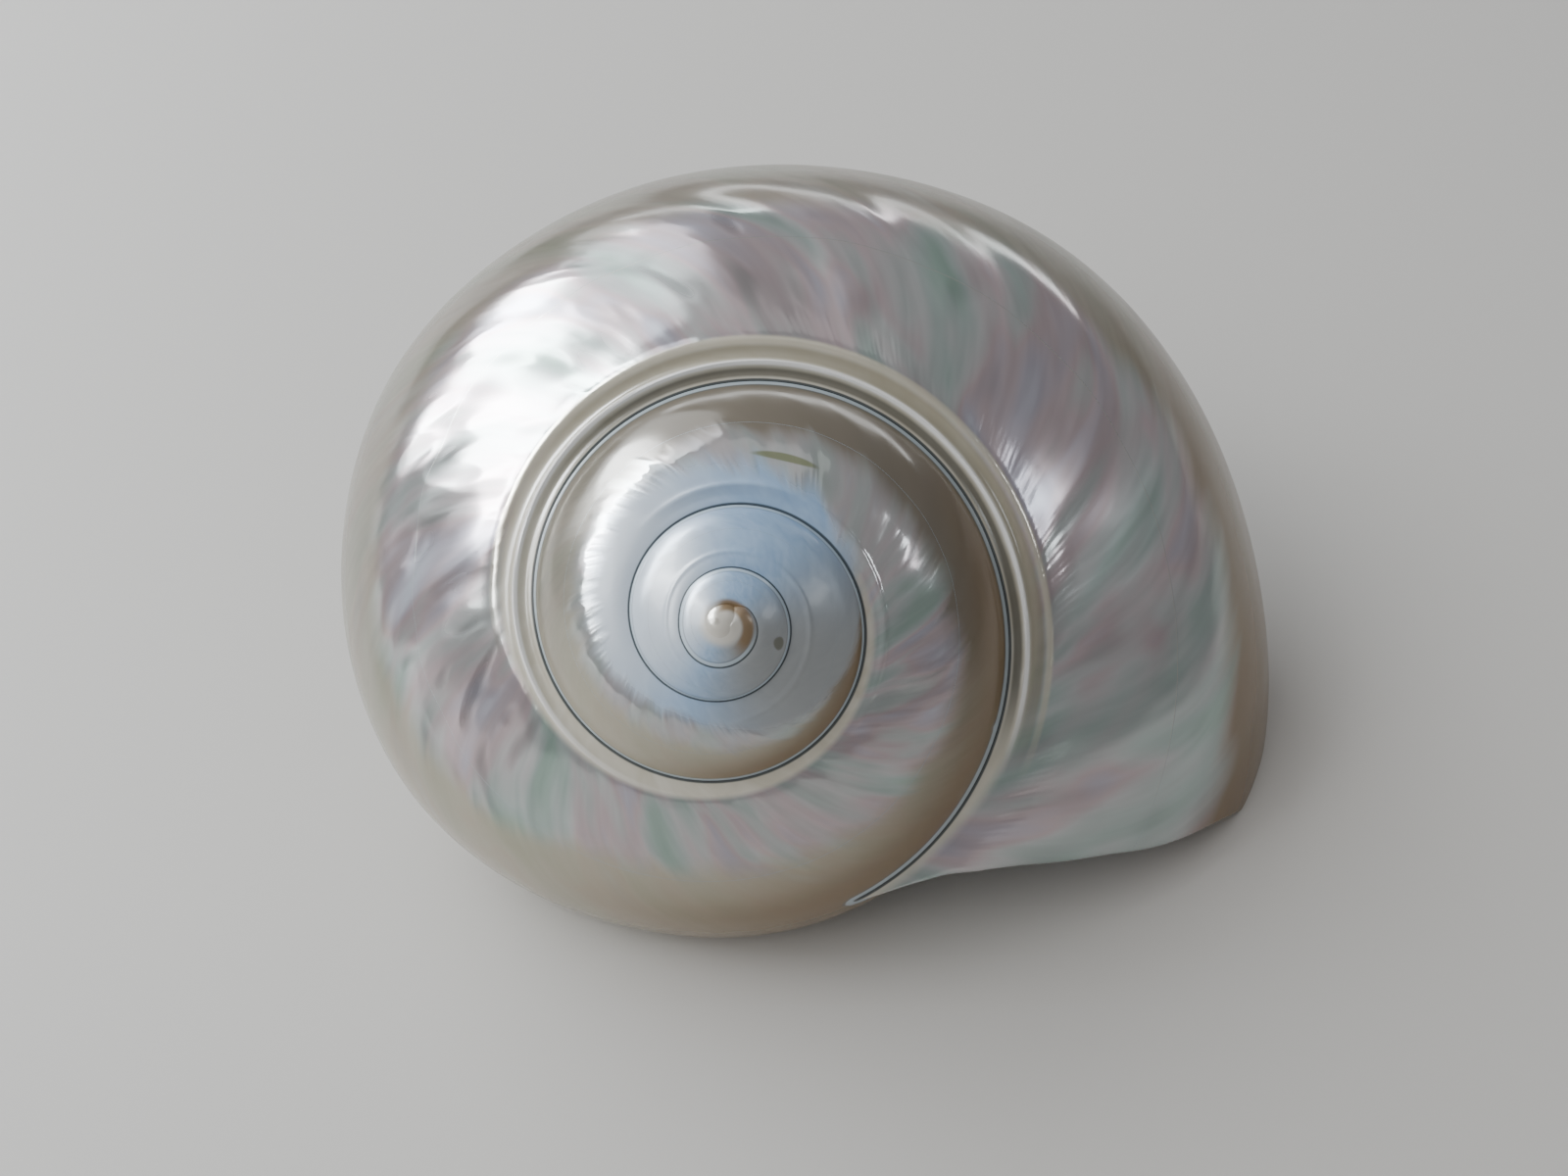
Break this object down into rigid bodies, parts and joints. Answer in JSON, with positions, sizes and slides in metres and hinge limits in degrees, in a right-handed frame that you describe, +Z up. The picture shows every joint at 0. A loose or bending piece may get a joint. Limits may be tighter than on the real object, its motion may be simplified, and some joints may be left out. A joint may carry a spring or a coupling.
{
  "type": "turban shell",
  "caption": "Low-spired right-coiling sea shell with pearly polished whorls, a round open mouth and a hollow body whorl, resting mouth down.",
  "frame": {"origin": "on the table plane, under the middle of the shell's bounding box", "axes": "+Z up from the table the mouth rests on, the apex leans towards -Y, the lip is on the +X side"},
  "size_m": [0.0748, 0.055, 0.0394],
  "materials": {
    "nacre": "polished mother of pearl"
  },
  "bodies": {
    "root": {"turban_shell": "nacre"}
  },
  "joints": []
}
